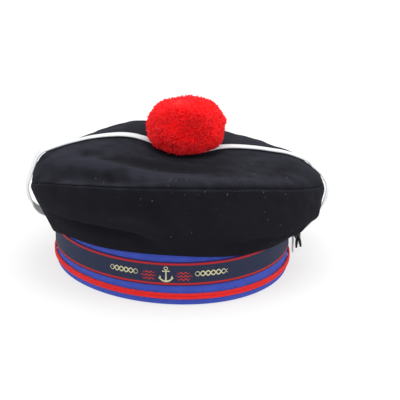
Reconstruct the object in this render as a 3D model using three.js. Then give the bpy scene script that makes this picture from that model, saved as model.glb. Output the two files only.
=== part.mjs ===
// A French-style sailor cap, resting on its head band: a wool crown of two sewn panels on a
// knitted band, with a ribbon, a double braid, a chin strap over the crown, a pompom and a bow.
// Millimetres, +Z up. The front of the cap faces -Y and the floor is Z = 0.
// Directions round the cap are in degrees from the front: +X is 90, the back 180, -X 270.
import * as THREE from 'three';

const gap = 0.3; // clearance kept between neighbouring pieces
const turns = 60; // facets round every ring

// The head band is an oval, a little fuller than an ellipse when fullness is over 2. It sits a
// little askew under the crown: turned round by turn, and moved by a share of its reach
const band = { halfWidth: 84.6, halfLength: 96.9, fullness: 1.96, turn: 24.4, moved: 0.029,
  movedTo: -34.4, wall: 2.8, height: 41 };
const braid = { low: 4.6, ridge: 2.3, proud: 1.5 }; // two ridges side by side
const ribbon = { low: 14.8, high: 32.6, thickness: 0.6, slant: 1.2 }; // slant: higher on the +X side
const cloth = { thickness: 2, lipStandoff: 1.2, flange: 2.2, seamGap: 0.02 };
const crownMiddle = 82.8; // height of the dimple under the pompom
const topFractions = [0.18, 0.36, 0.62, 0.82, 0.93]; // shares of the seam's reach with a height
const seamPlace = 6; // places along the crown's curve, which starts at 0 in the middle
const lipPlace = 10;
const pompom = { x: 9.9, y: -4, width: 59, height: 37.6, floor: 86.6, waist: 0.43 };
const strap = { width: 7.6, thickness: 1.5, lift: 0.8, steps: 100 };
const bow = { at: 91, height: 15.5, standoff: 9, loopLength: 15, loopHeight: 10, loopThickness: 4.6,
  knotHeight: 5.6 };

// One row for each direction. Reaches are from the middle of the band, heights from the floor.
// The side panel goes from the seam by its middle, its lower fold and the tuck to the lip.
const crownColumns = ['at', 'seamReach', 'seamHeight', 'top18', 'top36', 'top62', 'top82', 'top93',
  'middleReach', 'middleHeight', 'foldReach', 'foldHeight', 'tuckReach', 'tuckHeight', 'lipHeight'];
const crownRows = [
  [0, 107, 91, 84.8, 88.5, 90.5, 93.3, 95.3, 108.5, 74, 107, 58, 102.3, 49.5, 38.5],
  [30, 108, 86, 83.4, 86.8, 87.8, 88.8, 90.3, 109.5, 67, 108.3, 51, 104.3, 43, 34.3],
  [60, 110.5, 72.5, 82.4, 85.4, 85.8, 84.3, 81, 111.5, 57, 108, 43.5, 100.5, 35, 29.3],
  [90, 111.8, 57.5, 82, 85.3, 83, 76.5, 68, 111.2, 49, 107.5, 39.5, 99, 26, 19],
  [120, 112.5, 51, 83.4, 85.3, 79.5, 70, 61, 112.3, 43, 109, 34, 101, 23.5, 17],
  [150, 112, 47.5, 86.8, 87.5, 79, 67.8, 58, 111.8, 40, 108.8, 32, 102, 24, 19],
  [180, 111, 46, 89.5, 90.5, 80.5, 68, 57.5, 110.8, 39, 108, 31.5, 102.5, 24.5, 20],
  [210, 110.5, 47, 92, 94.6, 85, 70.5, 59, 110.3, 40, 107.3, 32.5, 102, 25, 21],
  [240, 108.5, 50.5, 92, 95, 86.8, 74.5, 67.5, 108.3, 43.5, 105.5, 35.5, 98.5, 27.5, 21.5],
  [270, 105.2, 58.5, 91, 94.6, 91.2, 83.5, 78.3, 104.2, 51, 99.8, 43, 95.3, 32.5, 22],
  [300, 104, 75.5, 89.6, 94.3, 94.5, 89.5, 81.5, 104.5, 66, 103, 56.5, 96.5, 48, 33],
  [330, 105, 87, 87.2, 92, 95, 94.8, 88.6, 106, 74, 104.5, 61.5, 97.8, 53, 36.8],
];

// The strap's route down each side: direction round the cap, place on the crown's curve, and
// how far it stands off the cloth. Between the two it goes over the top, and past the lip it
// runs down the outside of the band.
const strapColumns = ['at', 'place', 'off'];
const strapLeft = [
  [267, 4.5, 0], [265.5, 5, 0.1], [265.5, 5.4, 0.2], [266.5, 5.8, 0.4], [268, 6.3, 1],
  [269, 6.9, 2], [269, 7.5, 3.3], [267.5, 8.1, 4], [264, 8.6, 3.2], [258.5, 9.1, 1.8],
  [254, 9.6, 0.6], [251, 9.95, 0.6],
];
const strapRight = [
  [97, 4.4, 0], [99, 4.8, 0], [99, 5.2, 0], [97, 5.5, 0], [92.5, 5.95, 0.2], [89, 6.5, 0.6],
  [87.5, 7.2, 0.8], [88, 8, 0.6], [90, 9, 0.3], [91, 9.6, 0.2], [91.4, 9.95, 0.15],
];
const strapTop = { left: -78, right: 82, stops: 21 };
const strapEnd = { left: 249, right: 91, foot: 2.6, above: 12.5, slackRight: 2.8 };

const radians = (degrees) => degrees * Math.PI / 180;

// Smooth curve value between b and c, with a before them and d after, at share f
function blend(a, b, c, d, f) {
  const bend = 2 * a - 5 * b + 4 * c - d;
  const twist = 3 * b - a - 3 * c + d;
  return 0.5 * (2 * b + (c - a) * f + bend * f * f + twist * f ** 3);
}

// A table column's value in any direction, the rows being evenly spread round the cap
function crownValue(name, at) {
  const column = crownColumns.indexOf(name);
  const count = crownRows.length;
  const place = (((at % 360) + 360) % 360) / 360 * count;
  const row = Math.floor(place) % count;
  const pick = (step) => crownRows[(row + step + count) % count][column];
  return blend(pick(-1), pick(0), pick(1), pick(2), place - Math.floor(place));
}

// Reach of the band's outer face, plus an even growth outward
function bandReach(at, growth = 0) {
  const angle = radians(at - band.turn);
  const across = Math.abs(Math.sin(angle)) / (band.halfWidth + growth);
  const along = Math.abs(Math.cos(angle)) / (band.halfLength + growth);
  const reach = (across ** band.fullness + along ** band.fullness) ** (-1 / band.fullness);
  return reach * (1 + band.moved * Math.cos(radians(at - band.movedTo)));
}

const lipReach = (at) => bandReach(at, cloth.lipStandoff + cloth.thickness);

// The crown's curve in one direction, as [reach, height] points from the middle to the lip
function crownCurve(at) {
  const value = (name) => crownValue(name, at);
  const opposite = [-topFractions[0] * crownValue('seamReach', at + 180),
    crownValue('top18', at + 180)];
  const top = topFractions.map((share) =>
    [share * value('seamReach'), value(`top${Math.round(share * 100)}`)]);
  const lip = [lipReach(at), value('lipHeight')];
  const below = [lip[0], lip[1] - 8];
  return { before: opposite, after: below, points: [
    [0, crownMiddle], ...top,
    [value('seamReach'), value('seamHeight')],
    [value('middleReach'), value('middleHeight')],
    [value('foldReach'), value('foldHeight')],
    [value('tuckReach'), value('tuckHeight')],
    lip,
  ] };
}

// Point on the crown's curve at a place from 0 to lipPlace, and the way out of the cloth there
function onCurve(curve, place) {
  const last = curve.points.length - 1;
  const start = Math.min(Math.max(Math.floor(place), 0), last - 1);
  const share = place - start;
  const get = (index) => (index < 0 ? curve.before : index > last ? curve.after
    : curve.points[index]);
  const four = [get(start - 1), get(start), get(start + 1), get(start + 2)];
  const at = (f) => [0, 1].map((axis) => blend(...four.map((point) => point[axis]), f));
  const here = at(share);
  const nudge = 0.01;
  const ahead = at(share + nudge);
  const behind = at(share - nudge);
  const run = [ahead[0] - behind[0], ahead[1] - behind[1]];
  const length = Math.hypot(run[0], run[1]);
  return { reach: here[0], height: here[1], out: [-run[1] / length, run[0] / length] };
}

function spot(at, reach, height) {
  const angle = radians(at);
  return new THREE.Vector3(reach * Math.sin(angle), -reach * Math.cos(angle), height);
}

function geometryFrom(points, faces) {
  const geometry = new THREE.BufferGeometry();
  geometry.setAttribute('position',
    new THREE.Float32BufferAttribute(points.flatMap((point) => [point.x, point.y, point.z]), 3));
  geometry.setIndex(faces);
  let volume = 0; // six times the enclosed volume, negative when the faces point in
  for (let i = 0; i < faces.length; i += 3) {
    const [a, b, c] = [points[faces[i]], points[faces[i + 1]], points[faces[i + 2]]];
    volume += a.dot(new THREE.Vector3().crossVectors(b, c));
  }
  if (volume < 0) geometry.setIndex(faces.toReversed());
  geometry.computeVertexNormals();
  return geometry;
}

// A closed ring: sectionAt(direction) gives a closed outline of [reach, height] points
function ringGeometry(sectionAt) {
  const points = [];
  const faces = [];
  let count = 0;
  for (let turn = 0; turn < turns; turn += 1) {
    const at = turn * 360 / turns;
    const section = sectionAt(at);
    count = section.length;
    points.push(...section.map(([reach, height]) => spot(at, reach, height)));
  }
  for (let turn = 0; turn < turns; turn += 1) {
    const next = (turn + 1) % turns;
    for (let i = 0; i < count; i += 1) {
      const j = (i + 1) % count;
      const [a, b] = [turn * count + i, turn * count + j];
      const [c, d] = [next * count + j, next * count + i];
      faces.push(a, b, c, a, c, d);
    }
  }
  return geometryFrom(points, faces);
}

// A shell closed at the axis: outerAt and innerAt give points from near the axis outward
function shellGeometry(outerAt, innerAt, outerPole, innerPole) {
  const points = [spot(0, 0, outerPole), spot(0, 0, innerPole)];
  const faces = [];
  let count = 0;
  for (let turn = 0; turn < turns; turn += 1) {
    const at = turn * 360 / turns;
    const section = [...outerAt(at), ...innerAt(at).reverse()];
    count = section.length;
    points.push(...section.map(([reach, height]) => spot(at, reach, height)));
  }
  for (let turn = 0; turn < turns; turn += 1) {
    const next = (turn + 1) % turns;
    const here = 2 + turn * count;
    const there = 2 + next * count;
    faces.push(0, here, there);
    faces.push(1, there + count - 1, here + count - 1);
    for (let i = 0; i < count - 1; i += 1) {
      faces.push(here + i, here + i + 1, there + i + 1, here + i, there + i + 1, there + i);
    }
  }
  return geometryFrom(points, faces);
}

// A closed bar through outlines of the same number of points, with a flat face at each end
function barGeometry(outlines) {
  const points = outlines.flat();
  const count = outlines[0].length;
  const last = (outlines.length - 1) * count;
  const faces = [];
  for (let i = 1; i < count - 1; i += 1) {
    faces.push(0, i, i + 1, last, last + i + 1, last + i);
  }
  for (let step = 0; step < outlines.length - 1; step += 1) {
    for (let i = 0; i < count; i += 1) {
      const [a, b] = [step * count + i, step * count + (i + 1) % count];
      faces.push(a, a + count, b + count, a, b + count, b);
    }
  }
  return geometryFrom(points, faces);
}

function spread(from, to, count) {
  return Array.from({ length: count }, (_, i) => from + (to - from) * i / (count - 1));
}

const crownTopEnd = seamPlace - cloth.seamGap;
const crownSideStart = seamPlace + cloth.seamGap;

function crownTopGeometry() {
  const places = [0.6, 1.2, 1.8, 2.4, 3, 3.5, 4, 4.4, 4.8, 5.15, 5.45, 5.75, crownTopEnd];
  const layer = (depth) => (at) => {
    const curve = crownCurve(at);
    return places.map((place) => {
      const { reach, height, out } = onCurve(curve, place);
      return [reach - out[0] * depth, height - out[1] * depth];
    });
  };
  return shellGeometry(layer(0), layer(cloth.thickness), crownMiddle,
    crownMiddle - cloth.thickness);
}

// The side panel's cloth comes down to the lip, turns up inside along the band and is sewn
// over the band's top, so that a channel open to the crown's inside is left between the two
function crownSideGeometry() {
  const outerPlaces = [...spread(crownSideStart, lipPlace - 0.2, 12)];
  const flangeLow = band.height + gap;
  const flangeHigh = flangeLow + 1.5;
  return ringGeometry((at) => {
    const curve = crownCurve(at);
    const wall = (place, depth) => {
      const { reach, height, out } = onCurve(curve, place);
      return [reach - out[0] * depth, height - out[1] * depth];
    };
    const inside = bandReach(at, cloth.lipStandoff);
    const channelSide = inside + 1.5;
    const lip = crownValue('lipHeight', at);
    let bottom = lipPlace - 0.25; // lowest place on the curve where the channel has room
    while (wall(bottom, cloth.thickness)[0] < channelSide + gap) bottom -= 0.02;
    while (wall(bottom, cloth.thickness)[1] < lip + 2) bottom -= 0.02;
    const channelFloor = Math.min(wall(bottom, cloth.thickness)[1] - 0.3, flangeHigh - 0.3);
    const innerPlaces = spread(crownSideStart, bottom, 9);
    return [
      ...outerPlaces.map((place) => wall(place, 0)),
      [lipReach(at), lip + 0.9],
      [lipReach(at) - cloth.thickness / 2, lip],
      [inside, lip + 0.9],
      [inside, flangeLow],
      [inside - cloth.lipStandoff - cloth.flange, flangeLow],
      [inside - cloth.lipStandoff - cloth.flange, flangeHigh],
      [channelSide, flangeHigh],
      [channelSide, channelFloor],
      ...innerPlaces.reverse().map((place) => wall(place, cloth.thickness)),
    ];
  });
}

function headBandGeometry() {
  const rim = 0.8; // rounding of the knitted edges
  return ringGeometry((at) => {
    const outer = bandReach(at);
    const inner = bandReach(at, -band.wall);
    return [
      [outer - rim / 2, 0], [outer, rim], [outer, band.height - rim],
      [outer - rim, band.height], [inner + rim, band.height],
      [inner, band.height - rim], [inner, rim], [inner + rim / 2, 0],
    ];
  });
}

function ribbonGeometry() {
  return ringGeometry((at) => {
    const inner = bandReach(at, gap);
    const outer = bandReach(at, gap + ribbon.thickness);
    const rise = ribbon.slant * Math.sin(radians(at));
    const [low, high] = [ribbon.low + rise, ribbon.high + rise];
    return [[inner, low], [outer, low], [outer, high], [inner, high]];
  });
}

function bandBraidGeometry() {
  const groove = 0.35; // share of the braid's height left between its ridges
  const shoulder = 0.75;
  return ringGeometry((at) => {
    const back = bandReach(at, gap);
    const out = (share) => bandReach(at, gap + braid.proud * share);
    const up = (share) => braid.low + braid.ridge * share;
    return [
      [back, up(0)], [out(shoulder), up(0.15)], [out(1), up(0.5)], [out(shoulder), up(0.85)],
      [out(groove), up(1)],
      [out(shoulder), up(1.15)], [out(1), up(1.5)], [out(shoulder), up(1.85)], [back, up(2)],
    ];
  });
}

// Height of the crown's outer face over a point of the plan
function crownHeight(x, y) {
  const at = Math.atan2(x, -y) * 180 / Math.PI;
  const curve = crownCurve(at);
  const reach = Math.hypot(x, y);
  let low = 0;
  let high = seamPlace;
  for (let round = 0; round < 30; round += 1) {
    const middle = (low + high) / 2;
    if (onCurve(curve, middle).reach < reach) low = middle;
    else high = middle;
  }
  return onCurve(curve, low).height;
}

// Way out of the cloth over a point of the plan
function crownSlope(x, y) {
  const step = 3;
  const alongX = crownHeight(x + step, y) - crownHeight(x - step, y);
  const alongY = crownHeight(x, y + step) - crownHeight(x, y - step);
  return new THREE.Vector3(-alongX, -alongY, 2 * step).normalize();
}

// The strap's middle line with the way out of the cap at each point, left end to right end
function strapRoute() {
  const offCloth = strap.lift + strap.thickness / 2;
  const downSide = (rows) => rows.map((row) => {
    const get = (name) => row[strapColumns.indexOf(name)];
    const { reach, height, out } = onCurve(crownCurve(get('at')), get('place'));
    const off = offCloth + get('off');
    return {
      point: spot(get('at'), reach + out[0] * off, height + out[1] * off),
      out: spot(get('at'), out[0], out[1]),
    };
  });
  const downBand = (at, slack) => {
    const reach = bandReach(at, gap * 2 + braid.proud + strap.thickness / 2 + slack);
    return [strapEnd.above, strapEnd.above / 2 + strapEnd.foot / 2, strapEnd.foot]
      .map((height) => ({ point: spot(at, reach, height), out: spot(at, 1, 0) }));
  };
  const overTop = spread(strapTop.left, strapTop.right, strapTop.stops).map((x) => {
    const y = strapAcross(x);
    const out = crownSlope(x, y);
    const point = new THREE.Vector3(x, y, crownHeight(x, y)).addScaledVector(out, offCloth);
    return { point, out };
  });
  return [
    ...downBand(strapEnd.left, 0).reverse(),
    ...downSide(strapLeft).reverse(),
    ...overTop,
    ...downSide(strapRight),
    ...downBand(strapEnd.right, strapEnd.slackRight),
  ];
}

// How far back the strap lies over the top: further near each side
function strapAcross(x) {
  const pastLeft = Math.max(0, -68 - x);
  const pastRight = Math.max(0, x - 70);
  return -1.5 + 6 * (pastLeft / 12) ** 2 + 5 * (pastRight / 14) ** 2;
}

function chinStrapGeometry() {
  const route = strapRoute();
  const line = new THREE.CatmullRomCurve3(route.map((stop) => stop.point), false, 'centripetal');
  const outs = new THREE.CatmullRomCurve3(route.map((stop) => stop.out));
  const edge = 0.6;
  const half = { width: strap.width / 2, thickness: strap.thickness / 2 };
  const section = [
    [-half.width, 0], [-half.width + edge, half.thickness], [half.width - edge, half.thickness],
    [half.width, 0], [half.width - edge, -half.thickness], [-half.width + edge, -half.thickness],
  ];
  const outlines = spread(0, 1, strap.steps + 1).map((t) => {
    const middle = line.getPoint(t);
    const forward = line.getTangent(t);
    const side = new THREE.Vector3().crossVectors(forward, outs.getPoint(t)).normalize();
    const up = new THREE.Vector3().crossVectors(side, forward).normalize();
    return section.map(([a, b]) => middle.clone().addScaledVector(side, a).addScaledVector(up, b));
  });
  return barGeometry(outlines);
}

// A ball flattened on top and cut flat below, where it is sewn down over the strap
function pompomGeometry() {
  const half = pompom.width / 2;
  const waist = pompom.height * pompom.waist;
  const upper = spread(0, Math.PI / 2, 7).map((angle) => new THREE.Vector2(
    half * Math.cos(angle) ** 0.75, waist + (pompom.height - waist) * Math.sin(angle) ** 0.9));
  const foot = 0.95; // of a quarter turn, where the underside is cut flat
  const lower = spread(-Math.PI / 2 * foot, 0, 5).slice(0, -1).map((angle) => new THREE.Vector2(
    half * Math.cos(angle), waist + waist * Math.sin(angle)));
  const base = lower[0].y;
  const profile = [new THREE.Vector2(0, base), ...lower, ...upper];
  profile[profile.length - 1].x = 0;
  const geometry = new THREE.LatheGeometry(profile, 28);
  geometry.rotateX(Math.PI / 2);
  geometry.translate(pompom.x, pompom.y, pompom.floor - base);
  return geometry;
}

// The bow's own directions, outside the strap's end: u runs along the band toward the front,
// v up, and w out of the cap
function bowFrame() {
  const out = spot(bow.at, 1, 0);
  const along = spot(bow.at - 90, 1, 0);
  const origin = spot(bow.at, bandReach(bow.at, bow.standoff), bow.height);
  return (u, v, w) => origin.clone().addScaledVector(along, u)
    .addScaledVector(new THREE.Vector3(0, 0, 1), v).addScaledVector(out, w);
}

function bowLoopGeometry(sign) {
  const place = bowFrame();
  const rows = [ // share of the length, share of the height, share of the thickness
    [0.14, 0.36, 0.6], [0.35, 0.68, 0.95], [0.65, 0.94, 1], [0.88, 1, 0.95], [1, 0.86, 0.5],
  ];
  return barGeometry(rows.map(([along, tall, thick]) => {
    const u = sign * along * bow.loopLength;
    const v = tall * bow.loopHeight / 2;
    const w = thick * bow.loopThickness / 2;
    return [[-v, 0], [-v * 0.8, w], [v * 0.8, w], [v, 0], [v * 0.8, -w], [-v * 0.8, -w]]
      .map(([up, off]) => place(u, up, off));
  }));
}

function bowKnotGeometry() {
  const place = bowFrame();
  const half = { along: bow.loopLength * 0.14 - gap, up: bow.knotHeight / 2 };
  const rows = [[-2.3, 0.7], [-1.2, 1], [1.2, 1], [2.5, 0.65]]; // depth, share of the size
  return barGeometry(rows.map(([w, share]) => {
    const [u, v] = [half.along * share, half.up * share];
    return [[-u, -v * 0.6], [-u, v * 0.6], [-u * 0.5, v], [u * 0.5, v],
      [u, v * 0.6], [u, -v * 0.6], [u * 0.5, -v], [-u * 0.5, -v]]
      .map(([along, up]) => place(along, up, w));
  }));
}

function piece(name, geometry, color, roughness) {
  const material = new THREE.MeshStandardMaterial({ color, roughness, metalness: 0 });
  const mesh = new THREE.Mesh(geometry, material);
  mesh.name = name;
  return mesh;
}

const colors = { wool: 0x17181f, blue: 0x2b3fae, red: 0xd3141f, navy: 0x1a1f38, white: 0xf2f3f5,
  black: 0x101014 };

const cap = new THREE.Group();
cap.add(
  piece('crown_top', crownTopGeometry(), colors.wool, 0.95),
  piece('crown_side', crownSideGeometry(), colors.wool, 0.95),
  piece('head_band', headBandGeometry(), colors.blue, 0.9),
  piece('band_braid', bandBraidGeometry(), colors.red, 0.7),
  piece('ribbon', ribbonGeometry(), colors.navy, 0.5),
  piece('chin_strap', chinStrapGeometry(), colors.white, 0.8),
  piece('pompom', pompomGeometry(), colors.red, 0.95),
  piece('bow_loop_front', bowLoopGeometry(1), colors.black, 0.6),
  piece('bow_loop_back', bowLoopGeometry(-1), colors.black, 0.6),
  piece('bow_knot', bowKnotGeometry(), colors.black, 0.6),
);

// The origin is under the middle of the whole outline
const outline = new THREE.Box3().setFromObject(cap);
const middle = outline.getCenter(new THREE.Vector3());
cap.position.set(-middle.x, -middle.y, 0);

export default cap;
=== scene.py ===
import math

import bmesh
import bpy
import numpy as np
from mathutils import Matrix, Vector


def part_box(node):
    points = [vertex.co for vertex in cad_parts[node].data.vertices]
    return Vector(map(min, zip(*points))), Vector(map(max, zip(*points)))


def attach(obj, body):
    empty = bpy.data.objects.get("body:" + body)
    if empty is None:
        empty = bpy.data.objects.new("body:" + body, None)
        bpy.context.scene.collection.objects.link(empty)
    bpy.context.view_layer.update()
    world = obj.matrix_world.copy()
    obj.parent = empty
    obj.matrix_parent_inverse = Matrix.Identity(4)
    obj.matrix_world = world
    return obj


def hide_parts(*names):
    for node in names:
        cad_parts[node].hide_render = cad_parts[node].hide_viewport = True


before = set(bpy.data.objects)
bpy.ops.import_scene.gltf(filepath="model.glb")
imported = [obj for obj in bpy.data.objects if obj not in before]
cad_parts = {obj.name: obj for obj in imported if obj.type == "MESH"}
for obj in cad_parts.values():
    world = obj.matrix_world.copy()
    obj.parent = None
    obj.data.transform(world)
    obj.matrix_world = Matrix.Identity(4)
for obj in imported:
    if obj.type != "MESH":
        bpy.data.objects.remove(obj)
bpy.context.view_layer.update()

# Sailor cap. Lengths are in millimetres until a mesh is made; directions are degrees round the
# cap from its front (90 is +X), and everything is measured from the middle of the head band.
band = {"halfWidth": 84.6, "halfLength": 96.9, "fullness": 1.96, "turn": 24.4, "moved": 0.029,
        "movedTo": -34.4, "wall": 2.8, "height": 41.0, "hem": 1.3, "turns": 360,
        "stitchWide": 1.15, "stitchTall": 0.9,
        "color": (0.056, 0.1, 0.54), "shade": (0.024, 0.042, 0.3)}
# the pale nap colour stands for both random wear and painted top light
crown = {"middle": 82.8, "wall": 2.0, "lipOff": 1.2, "flange": 2.2, "turns": 360,
         "topShares": (0.18, 0.36, 0.62, 0.82, 0.93), "seam": 6.0, "lip": 10.0,
         "seamGap": 0.004, "seamDepth": 0.7, "seamSpread": 1.2,
         "gap": 0.3, "flangeThick": 1.5, "channel": 1.5, "lipRound": 0.9, "lipTall": 1.6,
         "color": (0.0078, 0.0078, 0.0098), "paleNap": (0.019, 0.0195, 0.027), "plainWearAndPaintedLight": 0.4}

columns = ("seamReach", "seamHeight", "top18", "top36", "top62", "top82", "top93", "middleReach",
           "middleHeight", "foldReach", "foldHeight", "tuckReach", "tuckHeight", "lipHeight")
crownTable = np.array([  # a row for each 30 degrees round the cap, front first
    [107, 91, 84.8, 88.5, 90.5, 93.3, 95.3, 108.5, 74, 107, 58, 102.3, 49.5, 38.5],
    [108, 86, 83.4, 86.8, 87.8, 88.8, 90.3, 109.5, 67, 108.3, 51, 104.3, 43, 34.3],
    [110.5, 72.5, 82.4, 85.4, 85.8, 84.3, 81, 111.5, 57, 108, 43.5, 100.5, 35, 29.3],
    [111.8, 57.5, 82, 85.3, 83, 76.5, 68, 111.2, 49, 107.5, 39.5, 99, 26, 19],
    [112.5, 51, 83.4, 85.3, 79.5, 70, 61, 112.3, 43, 109, 34, 101, 23.5, 17],
    [112, 47.5, 86.8, 87.5, 79, 67.8, 58, 111.8, 40, 108.8, 32, 102, 24, 19],
    [111, 46, 89.5, 90.5, 80.5, 68, 57.5, 110.8, 39, 108, 31.5, 102.5, 24.5, 20],
    [110.5, 47, 92, 94.6, 85, 70.5, 59, 110.3, 40, 107.3, 32.5, 102, 25, 21],
    [108.5, 50.5, 92, 95, 86.8, 74.5, 67.5, 108.3, 43.5, 105.5, 35.5, 98.5, 27.5, 21.5],
    [105.2, 58.5, 91, 94.6, 91.2, 83.5, 78.3, 104.2, 51, 99.8, 43, 95.3, 32.5, 22],
    [104, 75.5, 89.6, 94.3, 94.5, 89.5, 81.5, 104.5, 66, 103, 56.5, 96.5, 48, 33],
    [105, 87, 87.2, 92, 95, 94.8, 88.6, 106, 74, 104.5, 61.5, 97.8, 53, 36.8],
])


def blend(a, b, c, d, f):  # smooth curve between b and c
    bend = 2 * a - 5 * b + 4 * c - d
    twist = 3 * b - a - 3 * c + d
    return 0.5 * (2 * b + (c - a) * f + bend * f ** 2 + twist * f ** 3)


def crownValue(name, at):
    column = crownTable[:, columns.index(name)]
    place = np.mod(at, 360) / 360 * len(column)
    row = np.floor(place).astype(int)
    pick = [column[(row + step) % len(column)] for step in (-1, 0, 1, 2)]
    return blend(*pick, place - row)


def bandReach(at, growth=0.0):
    angle = np.radians(np.asarray(at, float) - band["turn"])
    across = np.abs(np.sin(angle)) / (band["halfWidth"] + growth)
    along = np.abs(np.cos(angle)) / (band["halfLength"] + growth)
    reach = (across ** band["fullness"] + along ** band["fullness"]) ** (-1 / band["fullness"])
    return reach * (1 + band["moved"] * np.cos(np.radians(at - band["movedTo"])))


def lipReach(at):
    return bandReach(at, crown["lipOff"] + crown["wall"])


def crownCurve(at):  # 13 control points, the first before the middle and the last past the lip
    at = np.atleast_1d(np.asarray(at, float))
    shares = crown["topShares"]
    seam = crownValue("seamReach", at)
    rows = [(-shares[0] * crownValue("seamReach", at + 180), crownValue("top18", at + 180)),
            (0 * at, crown["middle"] + 0 * at)]
    rows += [(share * seam, crownValue(f"top{round(share * 100)}", at)) for share in shares]
    rows += [(crownValue(name + "Reach", at), crownValue(name + "Height", at))
             for name in ("seam", "middle", "fold", "tuck")]
    lip = (lipReach(at), crownValue("lipHeight", at))
    rows += [lip, (lip[0], lip[1] - 8)]
    return np.array(rows)


def onCrown(at, place):  # reach, height and the way out of the cloth (reach share, height share)
    at, place = np.broadcast_arrays(np.atleast_1d(np.asarray(at, float)), place)
    curve = crownCurve(at)
    start = np.clip(np.floor(place), 0, crown["lip"] - 1).astype(int)
    own = np.arange(len(at))
    four = [curve[start + step, :, own] for step in range(4)]

    def here(f):
        return blend(*four, f[:, None])
    share = place - start
    point = here(share)
    run = here(share + 0.01) - here(share - 0.01)
    run /= np.linalg.norm(run, axis=1)[:, None]
    return point[:, 0], point[:, 1], np.stack([-run[:, 1], run[:, 0]], 1)


def spot(at, reach, height):
    angle = np.radians(at)
    return np.stack(np.broadcast_arrays(reach * np.sin(angle), -reach * np.cos(angle), height), -1)


def crownSpot(at, place):  # point on the cloth and the way out of it
    reach, height, out = onCrown(at, place)
    return spot(at, reach, height), spot(at, out[:, 0], out[:, 1])


def placeOfCap():  # the cap's own middle in the frame, from where the head band is
    low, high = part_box("head_band")
    at = np.arange(60) * 6.0
    outline = spot(at, bandReach(at), 0)
    own = (outline.min(0) + outline.max(0)) / 2
    return np.array([(low.x + high.x) / 2, (low.y + high.y) / 2, 0.0]) - own / 1000


def softNoise(points, size, seed):  # smooth random value from about -1 to 1
    rng = np.random.default_rng(seed)
    total = np.zeros(len(points))
    for _ in range(9):
        way = rng.normal(size=3)
        way *= 2 * math.pi / (size * rng.uniform(0.7, 1.5)) / np.linalg.norm(way)
        total += np.sin(points @ way + rng.uniform(0, 2 * math.pi))
    return total / 3.2


def smoothStep(x, low, high):
    share = np.clip((x - low) / (high - low), 0, 1)
    return share * share * (3 - 2 * share)


def alongLine(points, t):  # centripetal curve through points, t from 0 to 1
    points = np.asarray(points, float)
    padded = np.vstack([2 * points[0] - points[1], points, 2 * points[-1] - points[-2]])
    place = np.asarray(t) * (len(points) - 1)
    start = np.clip(np.floor(place).astype(int), 0, len(points) - 2)
    f = (place - start)[:, None]
    a, b, c, d = [padded[start + step] for step in range(4)]
    gaps = [np.maximum(np.linalg.norm(q - p, axis=1), 1e-6)[:, None] ** 0.5
            for p, q in ((a, b), (b, c), (c, d))]
    leave = ((b - a) / gaps[0] - (c - a) / (gaps[0] + gaps[1]) + (c - b) / gaps[1]) * gaps[1]
    arrive = ((c - b) / gaps[1] - (d - b) / (gaps[1] + gaps[2]) + (d - c) / gaps[2]) * gaps[1]
    return (b + leave * f + (3 * (c - b) - 2 * leave - arrive) * f ** 2
            + (2 * (b - c) + leave + arrive) * f ** 3)


def evenly(points, step):  # points at even steps along a line
    run = np.concatenate([[0], np.cumsum(np.linalg.norm(np.diff(points, axis=0), axis=1))])
    stops = np.linspace(0, run[-1], int(run[-1] / step) + 1)
    return np.stack([np.interp(stops, run, points[:, axis]) for axis in range(3)], 1), stops


def unit(vectors):
    return vectors / np.maximum(np.linalg.norm(vectors, axis=-1, keepdims=True), 1e-9)


capMiddle = placeOfCap()


def makePiece(name, points, faces, material, replaced=(), uv=None, smooth=True):
    mesh = bpy.data.meshes.new(name)
    mesh.from_pydata((np.asarray(points) / 1000 + capMiddle).tolist(), [], faces)
    if uv is not None:
        layer = mesh.uv_layers.new(name="cloth")
        layer.data.foreach_set("uv", (np.asarray(uv, float) / 1000).ravel())
    mesh.polygons.foreach_set("use_smooth", [smooth] * len(mesh.polygons))
    mesh.materials.append(material)
    work = bmesh.new()
    work.from_mesh(mesh)
    bmesh.ops.recalc_face_normals(work, faces=work.faces)
    work.to_mesh(mesh)
    work.free()
    piece = bpy.data.objects.new(name, mesh)
    bpy.context.scene.collection.objects.link(piece)
    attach(piece, "root")
    if replaced:
        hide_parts(*replaced)
    return piece


def gridFaces(steps, count, closeSteps, closeCount, first=0):
    # quads between rows of points, with each corner's place in the grid before it wraps round
    s, c = np.meshgrid(np.arange(steps if closeSteps else steps - 1),
                       np.arange(count if closeCount else count - 1), indexing="ij")
    s, c = s.ravel(), c.ravel()
    corners = [(s, c), (s, c + 1), (s + 1, c + 1), (s + 1, c)]
    faces = np.stack([first + (i % steps) * count + j % count for i, j in corners], 1)
    return faces.tolist(), corners


def ringPiece(name, rows, material, replaced=(), across=None):
    # rows: points for each turn round the cap, closed both ways; across: the cloth's own width
    rows = np.asarray(rows)
    steps, count = rows.shape[:2]
    faces, corners = gridFaces(steps, count, True, True)
    middle = rows.mean(1)
    span = np.linalg.norm(np.roll(middle, -1, 0) - middle, axis=1)
    run = np.concatenate([[0], np.cumsum(span)])
    if across is None:
        width = np.linalg.norm(np.roll(rows[0], -1, 0) - rows[0], axis=1)
        across = np.concatenate([[0], np.cumsum(width)])
    uv = np.stack([np.stack([run[i], across[j]], 1) for i, j in corners], 1)
    return makePiece(name, rows.reshape(-1, 3), faces, material, replaced, uv)


def barFaces(steps, count, first=0):  # a bar's sides and its two flat ends
    faces, _ = gridFaces(steps, count, False, True, first)
    last = first + (steps - 1) * count
    return faces + [list(range(first, first + count))[::-1], list(range(last, last + count))]


def node(tree, kind, inputs=(), **settings):
    made = tree.nodes.new(kind)
    for key, value in settings.items():
        setattr(made, key, value)
    for key, value in dict(inputs).items():
        if isinstance(value, bpy.types.NodeSocket):
            tree.links.new(value, made.inputs[key])
        else:
            made.inputs[key].default_value = value
    return made


def calc(tree, operation, *values):
    return node(tree, "ShaderNodeMath", dict(enumerate(values)), operation=operation).outputs[0]


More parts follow.
